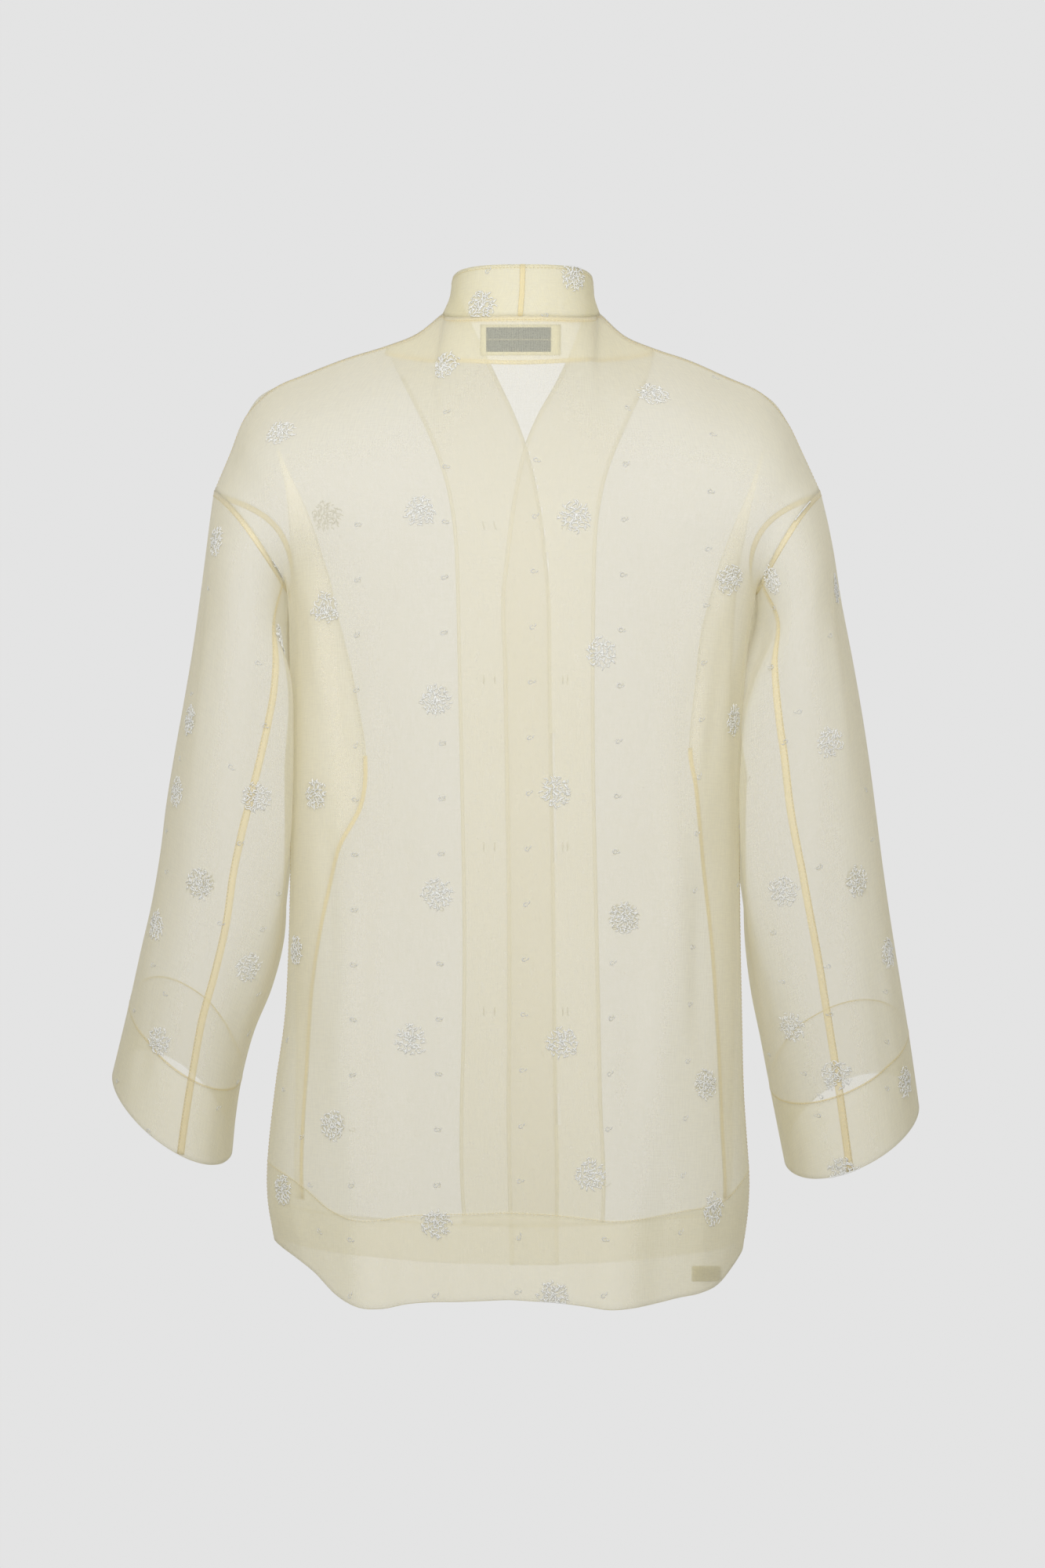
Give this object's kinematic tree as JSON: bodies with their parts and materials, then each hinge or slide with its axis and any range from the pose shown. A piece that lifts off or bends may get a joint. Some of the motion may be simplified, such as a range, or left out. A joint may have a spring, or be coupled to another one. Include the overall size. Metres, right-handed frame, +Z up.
{
  "type": "kebaya",
  "caption": "Sheer hip-length kebaya jacket with a cut-on stand collar, lapped open fronts and wide straight sleeves, standing hollow as worn.",
  "frame": {"origin": "middle of the neck at the level of the shoulder seams' inner ends, where the wearer's neck carries the garment", "axes": "+Z up, the fronts face -Y, the wearer's left is +X"},
  "size_m": [0.6295, 0.2594, 0.7789],
  "materials": {
    "organza": "sheer crisp silk weave",
    "organza_double": "sheer crisp silk weave, facing layer",
    "label_weave": "close matt weave"
  },
  "bodies": {
    "root": {"back": "organza", "back_neck_facing": "organza_double", "facing_left": "organza_double", "facing_right": "organza_double", "front_left": "organza", "front_right": "organza", "neck_label": "label_weave", "side_label": "label_weave", "sleeve_left": "organza", "sleeve_right": "organza"}
  },
  "joints": []
}
